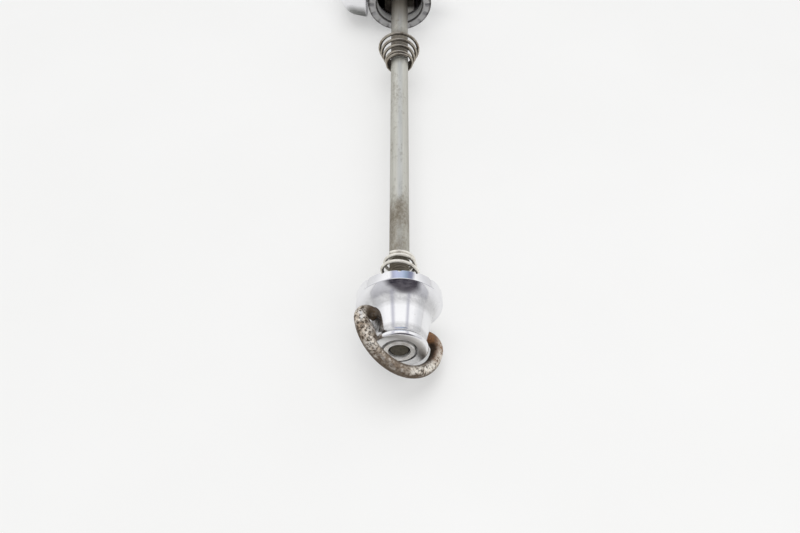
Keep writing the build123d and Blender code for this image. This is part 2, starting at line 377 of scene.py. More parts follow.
def model_skewer_rod():
    """The plain rod with a thread wound round its thinner core at the nut's end."""
    core_radius, crest_radius, root_radius = 2.08, 2.44, 2.05
    rod = smooth(turn("skewer_rod_steel", [
        (0, rod_end),
        (2.12, rod_end, 0.06),
        (2.46, -73.02, 0.06),
        (2.46, -72.75),
        (core_radius, -72.5),
        (core_radius, -47.7),
        (rod_radius, -47.2, 0.1, 60),
        (rod_radius, rod_head),
        (0, rod_head),
    ], steps=64))
    first, last = -72.7, -47.9
    thread = draw_profile("rod_thread", [
        (root_radius, first, 0),
        (crest_radius, first + 0.3, 0),
        (crest_radius, first + 0.4, 0),
        (root_radius, first + 0.7, 0),
        (root_radius, first + thread_pitch, 0),
    ])
    bpy.ops.object.mode_set(mode="OBJECT")
    only(thread)
    winding = thread.modifiers.new("winding", "SCREW")
    winding.axis = "Y"
    winding.screw_offset = thread_pitch * MM
    winding.iterations = int((last - first) / thread_pitch)
    winding.steps = winding.render_steps = 40
    winding.use_merge_vertices = True
    winding.merge_threshold = 0.002 * MM
    bpy.ops.object.modifier_apply(modifier=winding.name)
    take_all()
    bpy.ops.mesh.fill_holes(sides=0)
    close_up(thread)
    smooth(thread, 25)
    return join(rod, thread)


def model_spring(name, small_end, direction, length, open_turns, growth):
    """Winds a conical spring from its closed small end, one short run after another."""
    small_radius, wide_radius, closed_rise, tip_turn = 3.6, 5.95, 1.05, 0.1
    open_rise = length - spring_wire_thickness - closed_rise
    runs_per_turn = 32
    run_angle = direction * 2 * math.pi / runs_per_turn

    def wound(turns):
        """Radius and place along the rod after a number of turns."""
        opened = max(0, turns - 1) / open_turns
        rise = spring_wire_thickness / 2 + closed_rise * min(turns, 1) + open_rise * opened ** growth
        return small_radius + (wide_radius - small_radius) * opened, small_end + direction * rise

    angle = math.pi / 2 - direction * 2 * math.pi * tip_turn
    radius, along = wound(0)
    outwards = Vector((math.cos(angle), 0, math.sin(angle)))
    run = Vector((-math.sin(angle), 0, math.cos(angle))) * direction
    spring = wire_ring(name, spring_wire_thickness / 2, outwards * radius + Vector((0, along, 0)), run, 16)
    for number in range(1, round((1 + open_turns) * runs_per_turn) + 1):
        there, further = wound(number / runs_per_turn)
        draw_out(outwards * (there - radius) + Vector((0, further - along, 0)))
        bpy.ops.transform.rotate(value=run_angle, orient_axis="Y", center_override=(0, 0, 0))
        angle += run_angle
        outwards = Vector((math.cos(angle), 0, math.sin(angle)))
        radius, along = there, further
    close_up(spring)
    return smooth(spring, 50)


# Cam end

def model_cam_housing():
    """The chromed cup with its clamp ring, two flats and the cross bore for the cam shaft."""
    housing = turn("cam_housing_chrome", [
        (0, cavity_floor),
        (cavity_radius, cavity_floor, 0.4),
        (cavity_radius, housing_face, 0.5),
        (ring_radius, housing_face, 0.8),
        (ring_radius, ring_back, 0.12),
        (barrel_radius, 61.35, 0.15),
        (barrel_radius, 79.25, 0.5),
        (8.6, housing_back, 0.4),
        (0, housing_back),
    ], steps=160)
    reach, bore_play = 14, 0.05
    mill_flats(housing, 8.4, reach, ring_back, 84)
    combine(housing, round_bar(
        "journal_drill", journal_radius + bore_play, (0, cam_y, 0), (-reach, cam_y, 0), 64
    ))
    combine(housing, round_bar("tail_drill", tail_radius + bore_play, (0, cam_y, 0), (reach, cam_y, 0)))
    combine(housing, groove_tools(housing_face, -1, 7.9, 11.3))
    return smooth(housing)


def model_cam_yoke():
    """The rod's round head, with two flats and an oval eye for the eccentric."""
    yoke_radius, yoke_front, yoke_back = 6.6, 61.59, 75.19
    seat_radius, seat_floor = 2.51, 64.8
    yoke = turn("cam_yoke_steel", [
        (0, seat_floor),
        (seat_radius, seat_floor),
        (seat_radius, yoke_front),
        (yoke_radius, yoke_front, 0.5),
        (yoke_radius, yoke_back, 0.4),
        (0, yoke_back),
    ], steps=96)
    mill_flats(yoke, 4.6, 9, 58, 78)
    eye_y, eye_radius, eye_half_rise, reach = 69.19, 3.75, 1, 6
    combine(yoke, block(
        "eye_cutter", (-reach, eye_y - eye_radius, -eye_half_rise), (reach, eye_y + eye_radius, eye_half_rise)
    ))
    for level in (-eye_half_rise, eye_half_rise):
        combine(yoke, round_bar("eye_drill", eye_radius, (-reach, eye_y, level), (reach, eye_y, level), 64))
    return smooth(yoke)


def arc_middle(start, radius, far_place, far_distance):
    """Middle of an arc from a start, of a radius, that keeps a distance from a far place."""
    span = far_place - start
    along = (span.length ** 2 + radius ** 2 - far_distance ** 2) / (2 * span.length)
    down = Vector((span.normalized().y, -span.normalized().x))
    return start + span.normalized() * along + down * math.sqrt(radius ** 2 - along ** 2)


def model_lever_arm():
    """The arm, drawn out of the hub station by station, level with the rod, and then leant to the table."""
    root_half, back_radius, belly_radius = 6.5, 70.0, 60.0
    arm_x, half_thickness = -14.65, 2.7
    tip, tip_radius = Vector((50.0, -3.0)), 4.0
    flare_start, flare_length = 8.0, 6.0
    back = arc_middle(Vector((0, root_half)), back_radius, tip, back_radius - tip_radius)
    belly = arc_middle(Vector((0, -root_half)), belly_radius, tip, belly_radius + tip_radius)
    tip_top_along = tip.x + (tip - back).normalized().x * tip_radius
    tip_foot_along = tip.x + (belly - tip).normalized().x * tip_radius

    def arm_edges(along):
        """Heights of the arm's upper and lower edge at a distance from the cam shaft."""
        round_off = math.sqrt(max(tip_radius ** 2 - (along - tip.x) ** 2, 0))
        upper, lower = tip.y + round_off, tip.y - round_off
        if along < tip_top_along:
            upper = back.y + math.sqrt(back_radius ** 2 - (along - back.x) ** 2)
        if along < tip_foot_along:
            lower = belly.y + math.sqrt(belly_radius ** 2 - (along - belly.x) ** 2)
        return upper, lower

    bpy.ops.object.select_all(action="DESELECT")
    bpy.ops.mesh.primitive_plane_add(size=2 * MM, rotation=(math.pi / 2, 0, 0))
    arm = settle("lever_arm")
    take_all()
    bpy.ops.mesh.bevel(offset=0.75 * MM, segments=7, affect="VERTICES")
    bpy.ops.mesh.select_all(action="SELECT")
    stations = [4.0, 7.0, 8.6, 9.4, 10.0, 10.6, 11.4, 12.4, 13.6, 15.0]
    stations += [15.0 + 2.0 * number for number in range(1, 17)]
    stations += [tip.x + tip_radius * math.sin(math.radians(angle)) for angle in range(-10, 90, 6)]
    stations.append(tip.x + tip_radius * 0.9995)
    size_up, size_across = 1.0, 1.0
    middle = Vector((arm_x, cam_y + stations[0], sum(arm_edges(stations[0])) / 2))
    bpy.ops.transform.translate(value=middle * MM)
    for number, along in enumerate(stations):
        upper, lower = arm_edges(along)
        flare = min(1.0, max(0.0, 1 - (along - flare_start) / flare_length))
        tip_in = max(0.0, (along - (tip.x + 1.2)) / (tip_radius - 1.2))
        half_up = (upper - lower) / 2 + 1.2 * flare ** 2
        half_across = half_thickness + 0.75 * flare ** 2 - 1.5 * tip_in ** 2.5
        there = Vector((arm_x, cam_y + along, (upper + lower) / 2))
        if number:
            draw_out(there - middle)
        bpy.ops.transform.resize(
            value=(half_across / size_across, 1, half_up / size_up), center_override=there * MM
        )
        middle, size_up, size_across = there, half_up, half_across
    bpy.ops.mesh.select_all(action="SELECT")
    bpy.ops.transform.rotate(
        value=lever_lean, orient_axis="X", center_override=Vector((0, cam_y, 0)) * MM
    )
    close_up(arm)
    return arm


def blend_arm_into_head(head, arm):
    """Makes the head and the arm one skin and smooths it, most of all where the arm leaves the head."""
    join(head, arm)
    skin = head.modifiers.new("skin", "REMESH")
    skin.mode = "VOXEL"
    skin.voxel_size = 0.25 * MM
    bpy.ops.object.modifier_apply(modifier=skin.name)

    def at_root(where):
        reach = math.hypot(where.y - cam_y, where.z)
        return where.y > cam_y + 1.0 and 5.5 < reach < 15.0

    pick(head, at_root)
    bpy.ops.object.vertex_group_assign_new()
    bpy.ops.object.mode_set(mode="OBJECT")
    for name, rounds, group in (("polish", 14, ""), ("root_fillet", 90, head.vertex_groups[0].name)):
        even = head.modifiers.new(name, "SMOOTH")
        even.factor = 0.5
        even.iterations = rounds
        even.vertex_group = group
        bpy.ops.object.modifier_apply(modifier=even.name)
    head.vertex_groups.clear()
    close_up(head)
    smooth(head, 60)


def model_lever():
    """The forged lever: head, arm and the cam shaft with its eccentric, all in one."""
    head_inner, collar_inner, collar_radius = -10.2, -8.5, 5.75
    head = turn_on_cam_shaft("lever_chrome_body", [
        (0, -19.1),
        (8.6, -18.7, 5.0),
        (10.2, head_inner, 0.4),
        (0, head_inner),
    ], steps=128)
    journal = smooth(turn_on_cam_shaft("cam_journal", [
        (0, -11.0),
        (collar_radius, -11.0),
        (collar_radius, collar_inner, 0.1),
        (journal_radius, collar_inner),
        (journal_radius, -5.4, 0.15),
        (0, -5.4),
    ], steps=96))
    blend_arm_into_head(head, model_lever_arm())

    eccentric_middle = Vector((0, cam_y + math.sin(lever_lean), math.cos(lever_lean)))
    eccentric = smooth(round_bar(
        "cam_eccentric", eccentric_radius, eccentric_middle + Vector((-5.6, 0, 0)),
        eccentric_middle + Vector((5.4, 0, 0)), 96,
    ))
    tail = smooth(turn_on_cam_shaft("cam_tail", [
        (0, 5.2),
        (tail_radius, 5.2),
        (tail_radius, washer_inner, 0.08),
        (stud_radius, washer_inner),
        (stud_radius, 13.1, 0.3),
        (0, 13.1),
    ], steps=64))
    return join(head, journal, eccentric, tail)


def model_lever_washer():
    """The washer under the cap nut."""
    bore_radius, washer_radius = 2.05, 4.3
    return smooth(turn_on_cam_shaft("lever_washer_plate", [
        (bore_radius, washer_inner),
        (washer_radius, washer_inner, 0.12),
        (washer_radius, washer_outer, 0.22),
        (bore_radius, washer_outer, 0.1),
    ], steps=96, closed=True))


def model_cap_nut():
    """The hexagon nut with its domed cap."""
    half_flats, hexagon_height = 3.5, 3.0
    hexagon_end = washer_outer + hexagon_height
    bpy.ops.object.select_all(action="DESELECT")
    bpy.ops.mesh.primitive_cylinder_add(
        vertices=6, radius=half_flats / math.cos(math.pi / 6) * MM, depth=hexagon_height * MM,
        location=Vector((washer_outer + hexagon_height / 2, cam_y, 0)) * MM,
        rotation=(math.pi / 2, 0, math.pi / 2),
    )
    hexagon = settle("cap_nut_chrome")
    take_all()
    bpy.ops.mesh.subdivide(number_cuts=3)
    bpy.ops.object.mode_set(mode="OBJECT")
    combine(hexagon, turn_on_cam_shaft("hexagon_turning", [
        (0, washer_outer),
        (3.6, washer_outer),
        (4.1, 9.6),
        (4.1, 12.0),
        (half_flats, hexagon_end),
        (0, hexagon_end),
    ], steps=96), "INTERSECT")
    dome_radius = 3.2
    dome = smooth(turn_on_cam_shaft("cap_dome", [
        (0, 12.0),
        (dome_radius, 12.0),
        (dome_radius, 13.2, 0.9),
        (2.3, 14.5, 0.6),
        (0, 14.7),
    ], steps=96), 60)
    smooth(hexagon, 20)
    return join(hexagon, dome)


# Steps of a finish

def new_finish(name):
    """A new material with its shader, ready for its texture nodes."""
    finish = bpy.data.materials.new(name)
    finish.use_nodes = True
    return finish, finish.node_tree, finish.node_tree.nodes["Principled BSDF"]


def reopen(finish):
    """The tree, shader, colour and roughness of a finish, to lay more over them."""
    tree = finish.node_tree
    shader = tree.nodes["Principled BSDF"]
    colour = shader.inputs["Base Color"].links[0].from_socket
    gloss = shader.inputs["Roughness"].links[0].from_socket
    return tree, shader, colour, gloss


def lay_on(tree, shader, colour, gloss):
    """Gives a shader its colour and its roughness."""
    tree.links.new(colour, shader.inputs["Base Color"])
    tree.links.new(gloss, shader.inputs["Roughness"])


def on_surface(tree, stretch=(1, 1, 1)):
    """Object coordinates, stretched for a pattern with a direction."""
    place = tree.nodes.new("ShaderNodeTexCoord")
    mapping = tree.nodes.new("ShaderNodeMapping")
    mapping.inputs["Scale"].default_value = stretch
    tree.links.new(place.outputs["Object"], mapping.inputs["Vector"])
    return mapping.outputs["Vector"]


def mottle(tree, where, size, detail=4.0, rough=0.55):
    """Noise whose blotches are about a given size in millimetres."""
    noise = tree.nodes.new("ShaderNodeTexNoise")
    noise.inputs["Scale"].default_value = 1 / (size * MM)
    noise.inputs["Detail"].default_value = detail
    noise.inputs["Roughness"].default_value = rough
    tree.links.new(where, noise.inputs["Vector"])
    return noise.outputs["Fac"]


def shades(tree, factor, *stops):
    """Colours along a factor, as (position, colour)."""
    ramp = tree.nodes.new("ShaderNodeValToRGB")
    band = ramp.color_ramp
    while len(band.elements) < len(stops):
        band.elements.new(0.5)
    for element, (position, colour) in zip(band.elements, stops):
        element.position = position
        element.color = (*colour, 1)
    tree.links.new(factor, ramp.inputs["Fac"])
    return ramp.outputs["Color"]


def levels(tree, factor, low_in, high_in, low_out, high_out):
    """Stretches a factor to a new range, clamped."""
    spread = tree.nodes.new("ShaderNodeMapRange")
    spread.inputs["From Min"].default_value = low_in
    spread.inputs["From Max"].default_value = high_in
    spread.inputs["To Min"].default_value = low_out
    spread.inputs["To Max"].default_value = high_out
    tree.links.new(factor, spread.inputs["Value"])
    return spread.outputs["Result"]


def work_out(tree, way, first, second=0.0):
    """One sum on two values, of which either may be a plain number."""
    sums = tree.nodes.new("ShaderNodeMath")
    sums.operation = way
    for socket, value in zip(sums.inputs, (first, second)):
        if isinstance(value, (int, float)):
            socket.default_value = value
        else:
            tree.links.new(value, socket)
    return sums.outputs["Value"]


def add(tree, first, second):
    """The sum of two values."""
    return work_out(tree, "ADD", first, second)


def times(tree, first, second):
    """The product of two values."""
    return work_out(tree, "MULTIPLY", first, second)


def larger(tree, first, second):
    """The larger of two values."""
    return work_out(tree, "MAXIMUM", first, second)


def gap_to(tree, value, level):
    """How far a value lies from a level, on either side."""
    return work_out(tree, "ABSOLUTE", work_out(tree, "SUBTRACT", value, level))


def over(tree, cover, below, above):
    """Lays one colour over another where the cover is 1."""
    mix = tree.nodes.new("ShaderNodeMix")
    mix.data_type = "RGBA"
    tree.links.new(cover, mix.inputs["Factor"])
    colour_sockets = [socket for socket in mix.inputs if socket.type == "RGBA"]
    for socket, value in zip(colour_sockets, (below, above)):
        if isinstance(value, tuple):
            socket.default_value = (*value, 1)
        else:
            tree.links.new(value, socket)
    return [socket for socket in mix.outputs if socket.type == "RGBA"][0]


def raised(tree, height, strength, depth):
    """A bump of a depth in millimetres from a height."""
    bump = tree.nodes.new("ShaderNodeBump")
    bump.inputs["Strength"].default_value = strength
    bump.inputs["Distance"].default_value = depth * MM
    tree.links.new(height, bump.inputs["Height"])
    return bump.outputs["Normal"]


def vector_step(tree, way, first, second=None):
    """One step on vectors, of which the second may be plain numbers."""
    step = tree.nodes.new("ShaderNodeVectorMath")
    step.operation = way
    tree.links.new(first, step.inputs[0])
    if isinstance(second, (tuple, Vector)):
        step.inputs[1].default_value = second
    elif second:
        tree.links.new(second, step.inputs[1])
    return step


def in_millimetres(tree):
    """The surface's place in millimetres."""
    coords = tree.nodes.new("ShaderNodeTexCoord")
    per_metre = 1 / MM
    return vector_step(tree, "MULTIPLY", coords.outputs["Object"], (per_metre,) * 3).outputs["Vector"]


def place_parts(tree):
    """The surface's place, split into X, Y and Z in millimetres."""
    parts = tree.nodes.new("ShaderNodeSeparateXYZ")
    tree.links.new(in_millimetres(tree), parts.inputs["Vector"])
    return parts.outputs["X"], parts.outputs["Y"], parts.outputs["Z"]


def distance_from(tree, place):
    """Distance of the surface from a place, in millimetres."""
    return vector_step(tree, "DISTANCE", in_millimetres(tree), Vector(place)).outputs["Value"]


def from_rod_axis(tree):
    """Distance of the surface from the rod's axis, in millimetres."""
    side, _, up = place_parts(tree)
    squares = add(tree, work_out(tree, "POWER", side, 2.0), work_out(tree, "POWER", up, 2.0))
    return work_out(tree, "SQRT", squares)


def near_level(tree, value, level, reach, most):
    """Most at a level and nothing beyond a reach from it."""
    return levels(tree, gap_to(tree, value, level), reach, reach * 0.4, 0.0, most)


def facing(tree, direction):
    """How far the surface faces a direction, from -1 to 1."""
    coords = tree.nodes.new("ShaderNodeTexCoord")
    return vector_step(
        tree, "DOT_PRODUCT", coords.outputs["Normal"], Vector(direction).normalized()
    ).outputs["Value"]


def facing_out(tree):
    """How far the surface faces away from the rod's axis, from -1 to 1."""
    coords = tree.nodes.new("ShaderNodeTexCoord")
    across = vector_step(tree, "MULTIPLY", coords.outputs["Object"], (1, 0, 1))
    outwards = vector_step(tree, "NORMALIZE", across.outputs["Vector"])
    return vector_step(
        tree, "DOT_PRODUCT", coords.outputs["Normal"], outwards.outputs["Vector"]
    ).outputs["Value"]


# Finishes

def polished_chrome(name, wear, stretch):
    """Chrome plate: faint smudges, hairlines along the polishing and a few worn specks."""
    finish, tree, shader = new_finish(name)
    smudge = mottle(tree, on_surface(tree), 5.0)
    hairline = mottle(tree, on_surface(tree, stretch), 0.35, 2.0)
    speck = mottle(tree, on_surface(tree), 0.45, 3.0, 0.7)
    plate = shades(tree, smudge, (0.3, (0.80, 0.80, 0.82)), (0.7, (0.87, 0.87, 0.885)))
    worn = levels(tree, speck, 0.70 - wear, 0.76 - wear, 0.0, 0.8)
    colour = over(tree, worn, plate, (0.30, 0.26, 0.22))
    gloss = add(tree, levels(tree, smudge, 0.3, 0.7, 0.035, 0.095), levels(tree, worn, 0.0, 1.0, 0.0, 0.35))
    lay_on(tree, shader, colour, gloss)
    tree.links.new(raised(tree, hairline, 0.05, 0.02), shader.inputs["Normal"])
    shader.inputs["Metallic"].default_value = 1.0
    return finish


def chrome_with_painted_shade(name, wear, stretch, face, face_colour, face_gloss, *corners):
    """Chrome with a dull face between two levels along the rod, and painted shade where each corner puts it.
    """
    finish = polished_chrome(name, wear, stretch)
    tree, shader, colour, gloss = reopen(finish)
    _, along, _ = place_parts(tree)
    dull = levels(tree, along, *face, 0.0, 1.0)
    colour = over(tree, levels(tree, dull, 0, 1, 0, 0.8), colour, face_colour)
    gloss = add(tree, gloss, levels(tree, dull, 0.0, 1.0, 0.0, face_gloss))
    blotch = mottle(tree, on_surface(tree), 0.8, 4.0, 0.65)
    # Each corner's mask lays painted shade, a little uneven, over the chrome
    for corner in corners:
        grime_and_shade = times(tree, corner(tree), levels(tree, blotch, 0.25, 0.6, 0.55, 1.0))
        colour = over(tree, grime_and_shade, colour, (0.045, 0.037, 0.028))
        gloss = add(tree, gloss, levels(tree, grime_and_shade, 0.0, 1.0, 0.0, 0.4))
    lay_on(tree, shader, colour, gloss)
    return finish


def bush_groove_shade(tree):
    """Painted shade in the ring groove round the bush, on the nut's front face."""
    _, along, _ = place_parts(tree)
    front = levels(tree, along, -72.9, -73.1, 0.0, 1.0)
    return times(tree, near_level(tree, from_rod_axis(tree), 3.9, 0.5, 0.95), front)


def lip_hollow_shade(tree):
    """Painted shade in the hollow behind the nut's lip."""
    _, along, _ = place_parts(tree)
    return near_level(tree, along, -72.45, 0.3, 0.4)


def neck_painted_shade(tree):
    """Painted shade round the top and the foot of the nut's neck."""
    _, along, _ = place_parts(tree)
    return larger(tree, near_level(tree, along, -63.5, 2.5, 0.34), near_level(tree, along, -71.3, 1.5, 0.30))


def handle_reflection_on_neck(tree):
    """A painted dark reflection of the handle's upper end, on the nut's neck beside it."""
    return levels(tree, distance_from(tree, (-5.7, -68.8, 3.8)), 2.7, 1.5, 0.0, 0.88)


def clamp_ring_shade(tree, radius, reach, most):
    """Painted shade at a radius on the face of the housing's clamp ring."""
    _, along, _ = place_parts(tree)
    front = levels(tree, along, 59.0, 58.7, 0.0, 1.0)
    return times(tree, near_level(tree, from_rod_axis(tree), radius, reach, most), front)


def ring_rim_shade(tree):
    """Painted shade at the outer edge of the housing's clamp ring."""
    return clamp_ring_shade(tree, 9.95, 0.95, 0.85)


def cavity_mouth_shade(tree):
    """Painted shade at the edge of the housing's cavity."""
    return clamp_ring_shade(tree, 7.05, 0.5, 0.8)


def bare_wall(finish, radius, mouth, deep_start, deep_end):
    """Gives chrome a bare satin wall inside a hollow of a radius, from its mouth to a depth along the rod."""
    tree, shader, colour, gloss = reopen(finish)
    _, along, _ = place_parts(tree)
    inward = math.copysign(1, deep_start - mouth)
    wall = times(
        tree, levels(tree, from_rod_axis(tree), radius + 0.15, radius + 0.05, 0.0, 1.0),
        levels(tree, along, deep_end, deep_start, 0.0, 1.0),
    )
    wall = times(tree, wall, levels(tree, along, mouth + 0.35 * inward, mouth + 0.75 * inward, 0.0, 1.0))
    colour = over(tree, wall, colour, (0.80, 0.80, 0.79))
    gloss = add(tree, gloss, levels(tree, wall, 0, 1, 0, 0.4))
    lay_on(tree, shader, colour, gloss)
    tree.links.new(levels(tree, wall, 0, 1, 1.0, 0.25), shader.inputs["Metallic"])


def painted_head_underside_shade(finish):
    """Gives the lever's chrome a band of painted shade low on the front of its head."""
    tree, shader, colour, gloss = reopen(finish)
    _, along, _ = place_parts(tree)
    low = levels(tree, facing(tree, (-0.25, -0.72, -0.62)), 0.85, 0.97, 0.0, 0.8)
    painted_head_shade = times(tree, low, levels(tree, along, 76.0, 70.0, 0.0, 1.0))
    colour = over(tree, painted_head_shade, colour, (0.13, 0.135, 0.12))
    lay_on(tree, shader, colour, add(tree, gloss, levels(tree, painted_head_shade, 0, 1, 0, 0.3)))


def stained_rod_steel():
    """Drawn steel, satin and streaked: olive-brown stains near the nut, painted shade on its flanks and
    towards the housing, dirt and painted shade under the lever's spring.
    """
    finish, tree, shader = new_finish("stained_rod_steel")
    streak = mottle(tree, on_surface(tree, (1, 0.05, 1)), 0.5, 3.0)
    cloud = mottle(tree, on_surface(tree, (1, 0.35, 1)), 3.2, 5.0, 0.6)
    speck = mottle(tree, on_surface(tree, (1, 0.6, 1)), 0.7, 4.0, 0.65)
    side, along, _ = place_parts(tree)

    # Bare steel, with painted shade on the flanks, lighter along the top
    steel = shades(tree, streak, (0.25, (0.55, 0.545, 0.49)), (0.75, (0.69, 0.685, 0.63)))
    painted_flank_shade = levels(tree, facing(tree, (0, -0.2, 1)), 0.92, 0.35, 0.0, 0.62)
    steel = over(tree, painted_flank_shade, steel, (0.36, 0.35, 0.31))

    # Stains towards the nut, most of them left of the middle
    ragged_along = add(tree, along, levels(tree, cloud, 0.3, 0.7, 3.0, -3.0))
    veil = levels(tree, ragged_along, -26.0, -30.5, 0.0, 0.40)
    veil = times(tree, veil, levels(tree, side, 1.6, 0.2, 0.6, 1.0))
    steel = over(tree, veil, steel, (0.18, 0.143, 0.092))
    blotch = add(tree, times(tree, cloud, 0.5), times(tree, speck, 0.5))
    tinge = levels(tree, along, -24.5, -32.5, 0.0, 0.10)
    patch = near_level(tree, along, -31.5, 6.0, 0.06)
    to_left = levels(tree, side, 2.0, -2.0, 0.0, 0.09)
    leaning = add(tree, add(tree, tinge, patch), to_left)
    stained = levels(tree, add(tree, blotch, leaning), 0.57, 0.82, 0.0, 0.82)
    colour = over(tree, stained, steel, (0.15, 0.118, 0.075))

    # Painted shade towards the housing, near black on the flanks there; dirt and painted shade under the
    # lever's spring
    shade_towards_housing = levels(tree, along, 38.0, 56.0, 0.05, 0.9)
    colour = over(tree, shade_towards_housing, colour, (0.155, 0.132, 0.105))
    colour = over(tree, times(tree, shade_towards_housing, painted_flank_shade), colour, (0.03, 0.026, 0.02))
    dirt_and_shade_under_spring = times(
        tree, levels(tree, along, 29.9, 31.4, 0.0, 0.88), levels(tree, along, 44.0, 39.8, 0.0, 1.0)
    )
    dirt_and_shade = shades(tree, speck, (0.3, (0.07, 0.055, 0.036)), (0.7, (0.17, 0.138, 0.10)))
    colour = over(tree, dirt_and_shade_under_spring, colour, dirt_and_shade)

    # Thread and the grimy end in the bush
    thread = levels(tree, along, -46.2, -47.6, 0.0, 0.75)
    colour = over(tree, thread, colour, (0.15, 0.125, 0.085))
    end = levels(tree, along, -72.8, -73.2, 0.0, 0.85)
    grimy_and_shaded = shades(tree, speck, (0.35, (0.016, 0.013, 0.008)), (0.65, (0.085, 0.073, 0.045)))
    colour = over(tree, end, colour, grimy_and_shaded)
    rim = times(
        tree, levels(tree, along, -72.5, -72.8, 0.0, 1.0),
        levels(tree, from_rod_axis(tree), 1.95, 2.2, 0.0, 0.95),
    )
    colour = over(tree, rim, colour, (0.012, 0.01, 0.007))

    stains_dirt_and_shade = larger(tree, stained, dirt_and_shade_under_spring)
    gloss = add(tree, levels(tree, streak, 0.2, 0.8, 0.34, 0.46), levels(tree, stains_dirt_and_shade, 0, 1, 0, 0.2))
    lay_on(tree, shader, colour, gloss)
    tree.links.new(levels(tree, stains_dirt_and_shade, 0, 1, 0.6, 0.35), shader.inputs["Metallic"])
    height = add(tree, streak, times(tree, speck, 0.8))
    tree.links.new(raised(tree, height, 0.18, 0.05), shader.inputs["Normal"])
    return finish


def pitted_handle_wire():
    """Worn plating on the wire handle: beige silver, dark pits, painted shade below and on its inner side,
    and rust at the ends with painted shade over it.
    """
    finish, tree, shader = new_finish("pitted_handle_wire")
    patch = mottle(tree, on_surface(tree), 2.6, 4.0, 0.6)
    pit = mottle(tree, on_surface(tree), 0.62, 4.0, 0.68)
    grain = mottle(tree, on_surface(tree), 0.2, 3.0, 0.6)
    ragged = levels(tree, pit, 0.3, 0.7, -0.25, 0.25)

    # Plating, its pits and the part of the bow where it is rubbed off
    plate = shades(
        tree, patch, (0.32, (0.34, 0.25, 0.175)), (0.44, (0.62, 0.53, 0.43)), (0.58, (0.90, 0.85, 0.77))
    )
    eaten = add(tree, pit, times(tree, work_out(tree, "SUBTRACT", 0.5, patch), 0.35))
    pitted = levels(tree, add(tree, eaten, times(tree, grain, 0.3)), 0.645, 0.735, 0.0, 0.96)
    colour = over(tree, pitted, plate, (0.05, 0.035, 0.022))
    rubbed_off = times(
        tree, levels(tree, distance_from(tree, (-1.6, -78.0, 1.2)), 6.0, 2.8, 0.0, 1.0),
        levels(tree, patch, 0.62, 0.40, 0.25, 0.85),
    )
    bare_iron = shades(tree, pit, (0.35, (0.09, 0.06, 0.04)), (0.65, (0.36, 0.28, 0.21)))
    colour = over(tree, rubbed_off, colour, bare_iron)

    # Painted shade below and on the inner side, less at the upper bend
    underside_shade = levels(tree, add(tree, facing(tree, (-0.2, -0.6, -0.75)), ragged), -0.3, 0.4, 0.0, 0.93)
    inside = add(tree, distance_from(tree, bail_bow_middle), times(tree, ragged, 2.0))
    shade_eased_at_bend = levels(tree, distance_from(tree, (-6.5, -70.75, 4.7)), 4.0, 1.8, 1.0, 0.3)
    inner = times(tree, levels(tree, inside, 11.0, 9.8, 0.0, 0.85), shade_eased_at_bend)
    grimy_and_shaded = larger(tree, underside_shade, inner)
    grime_and_shade = shades(tree, grain, (0.3, (0.05, 0.034, 0.022)), (0.7, (0.15, 0.105, 0.068)))
    colour = over(tree, grimy_and_shaded, colour, grime_and_shade)

    # Rust round both ends; at the upper end it is darkened as painted shade, less on faces turned up
    lower_end = distance_from(tree, (5.2, bail_pivot.y - 1.0, -3.9))
    upper_end = distance_from(tree, (-5.0, bail_pivot.y - 0.4, 3.6))
    spread = times(tree, patch, 6.0)
    rust_low = levels(tree, add(tree, lower_end, spread), 11.5, 4.5, 0, 0.85)
    rust_and_shade_high = times(
        tree, levels(tree, add(tree, upper_end, spread), 8.5, 4.5, 0, 0.9),
        levels(tree, facing(tree, (-0.2, 0.3, 1)), 0.95, 0.55, 0.25, 1.0),
    )
    rust = shades(
        tree, pit, (0.35, (0.10, 0.035, 0.012)), (0.55, (0.34, 0.15, 0.05)), (0.7, (0.50, 0.31, 0.16))
    )
    dark_rust_and_shade = shades(tree, pit, (0.35, (0.012, 0.008, 0.004)), (0.65, (0.085, 0.05, 0.02)))
    colour = over(tree, rust_low, colour, rust)
    colour = over(tree, rust_and_shade_high, colour, dark_rust_and_shade)
    # Painted shade on the left side of the lower end
    shaded = times(
        tree, levels(tree, add(tree, facing(tree, (-1, 0.1, 0.0)), ragged), -0.3, 0.3, 0.0, 0.93),
        levels(tree, lower_end, 10.0, 6.5, 0.0, 1.0),
    )
    colour = over(tree, shaded, colour, (0.03, 0.018, 0.01))

    dull = larger(tree, larger(tree, larger(tree, rust_low, rust_and_shade_high), pitted), grimy_and_shaded)
    lay_on(tree, shader, colour, levels(tree, dull, 0, 1, 0.28, 0.78))
    tree.links.new(levels(tree, dull, 0, 1, 0.85, 0.1), shader.inputs["Metallic"])
    height = work_out(tree, "SUBTRACT", times(tree, grain, 0.4), pitted)
    tree.links.new(raised(tree, height, 0.7, 0.14), shader.inputs["Normal"])
    return finish


